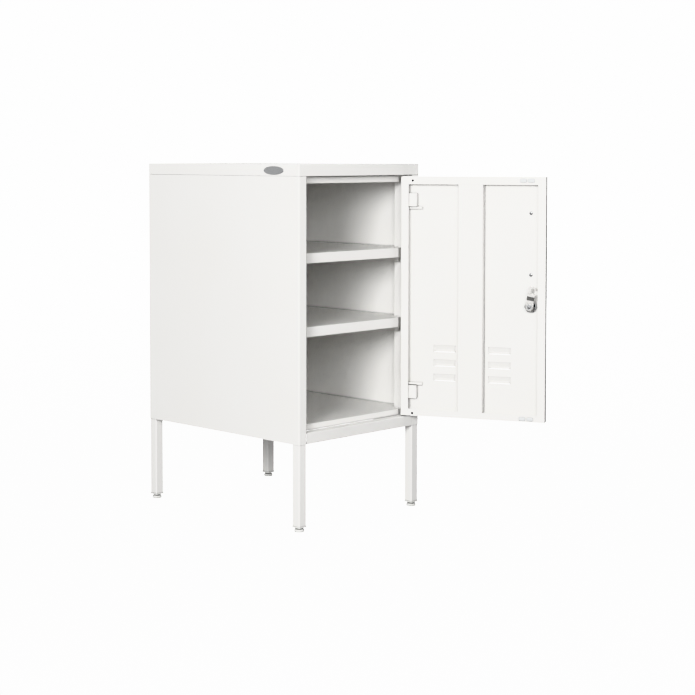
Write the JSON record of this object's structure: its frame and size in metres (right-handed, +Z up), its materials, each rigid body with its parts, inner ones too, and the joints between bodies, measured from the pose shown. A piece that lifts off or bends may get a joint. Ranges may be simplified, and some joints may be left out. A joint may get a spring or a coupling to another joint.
{
  "type": "locker cabinet",
  "caption": "Small steel locker cabinet on slim square legs, with a louvred door swung open on pulled pin hinges, folded shelves inside, a cam lock and a bow handle.",
  "frame": {"origin": "on the floor, under the middle of the cabinet's footprint, with the cabinet standing level", "axes": "+X along the cabinet's width, to the right facing the door; +Y from the front to the back; +Z up"},
  "size_m": [0.4619, 0.7272, 0.72],
  "materials": {
    "white_powder_coat": "white powder coat, low sheen",
    "zinc_plated_steel": "bright zinc plating",
    "nickel_plated_zinc": "satin nickel plating",
    "rivet_aluminium": "plain, white from the powder coat beside it",
    "badge_aluminium": "brushed, domed",
    "white_nylon": "moulded nylon",
    "pale_rubber": "soft clear-white pads"
  },
  "bodies": {
    "cabinet": {"top_panel": "white_powder_coat", "left_side_panel": "white_powder_coat", "right_side_panel": "white_powder_coat", "back_panel": "white_powder_coat", "bottom_panel": "white_powder_coat", "bottom_front_rail": "white_powder_coat", "top_front_rail": "white_powder_coat", "upper_shelf": "white_powder_coat", "lower_shelf": "white_powder_coat", "shelf_clips": "white_powder_coat", "top_fixing_screws": "zinc_plated_steel", "top_fixing_nuts": "zinc_plated_steel", "back_rivets": "rivet_aluminium", "oval_badge": "badge_aluminium", "upper_pivot_bush": "white_nylon", "lower_pivot_bush": "white_nylon", "leg_corner_plates": "white_powder_coat", "leg_top_inserts": "zinc_plated_steel", "leg_bolts": "zinc_plated_steel", "leg_bottom_plugs": "white_nylon", "front_left_leg": "white_powder_coat", "front_right_leg": "white_powder_coat", "back_left_leg": "white_powder_coat", "back_right_leg": "white_powder_coat"},
    "door": {"door_skin": "white_powder_coat", "door_stiffener": "white_powder_coat", "upper_hinge_bracket": "white_powder_coat", "lower_hinge_bracket": "white_powder_coat", "upper_pin_spring": "zinc_plated_steel", "lower_pin_spring": "zinc_plated_steel", "door_buffers": "pale_rubber", "door_handle": "white_powder_coat", "handle_screws": "zinc_plated_steel", "lock_barrel": "nickel_plated_zinc", "lock_nut": "zinc_plated_steel"},
    "lock_turning": {"lock_plug": "nickel_plated_zinc", "lock_cam": "nickel_plated_zinc", "cam_screw": "zinc_plated_steel"},
    "upper_pin": {"upper_hinge_pin": "white_powder_coat"},
    "lower_pin": {"lower_hinge_pin": "white_powder_coat"},
    "front_left_glide": {"front_left_foot": "white_nylon"},
    "front_right_glide": {"front_right_foot": "white_nylon"},
    "back_left_glide": {"back_left_foot": "white_nylon"},
    "back_right_glide": {"back_right_foot": "white_nylon"}
  },
  "joints": [
    {"name": "door_hinge", "type": "hinge", "parent": "cabinet", "child": "door", "pos_m": [0.143, -0.224, 0.445], "axis": [0, 0, 1], "range_deg": [-115, 5]},
    {"name": "lock_turn", "type": "hinge", "parent": "door", "child": "lock_turning", "pos_m": [0.25916, -0.45892, 0.4305], "axis": [0.9063, 0.4226, 0], "range_deg": [-10, 80]},
    {"name": "upper_pin_pull", "type": "slide", "parent": "door", "child": "upper_pin", "axis": [0, 0, -1], "range_m": [0, 0.009], "stiffness_N_per_m": 400, "springref_m": -0.006, "deforming": ["upper_pin_spring"]},
    {"name": "lower_pin_pull", "type": "slide", "parent": "door", "child": "lower_pin", "axis": [0, 0, 1], "range_m": [0, 0.009], "stiffness_N_per_m": 400, "springref_m": -0.006, "deforming": ["lower_pin_spring"]},
    {"name": "front_left_levelling", "type": "slide", "parent": "cabinet", "child": "front_left_glide", "axis": [0, 0, 1], "range_m": [-0.01, 0.002]},
    {"name": "front_right_levelling", "type": "slide", "parent": "cabinet", "child": "front_right_glide", "axis": [0, 0, 1], "range_m": [-0.01, 0.002]},
    {"name": "back_left_levelling", "type": "slide", "parent": "cabinet", "child": "back_left_glide", "axis": [0, 0, 1], "range_m": [-0.01, 0.002]},
    {"name": "back_right_levelling", "type": "slide", "parent": "cabinet", "child": "back_right_glide", "axis": [0, 0, 1], "range_m": [-0.01, 0.002]}
  ]
}
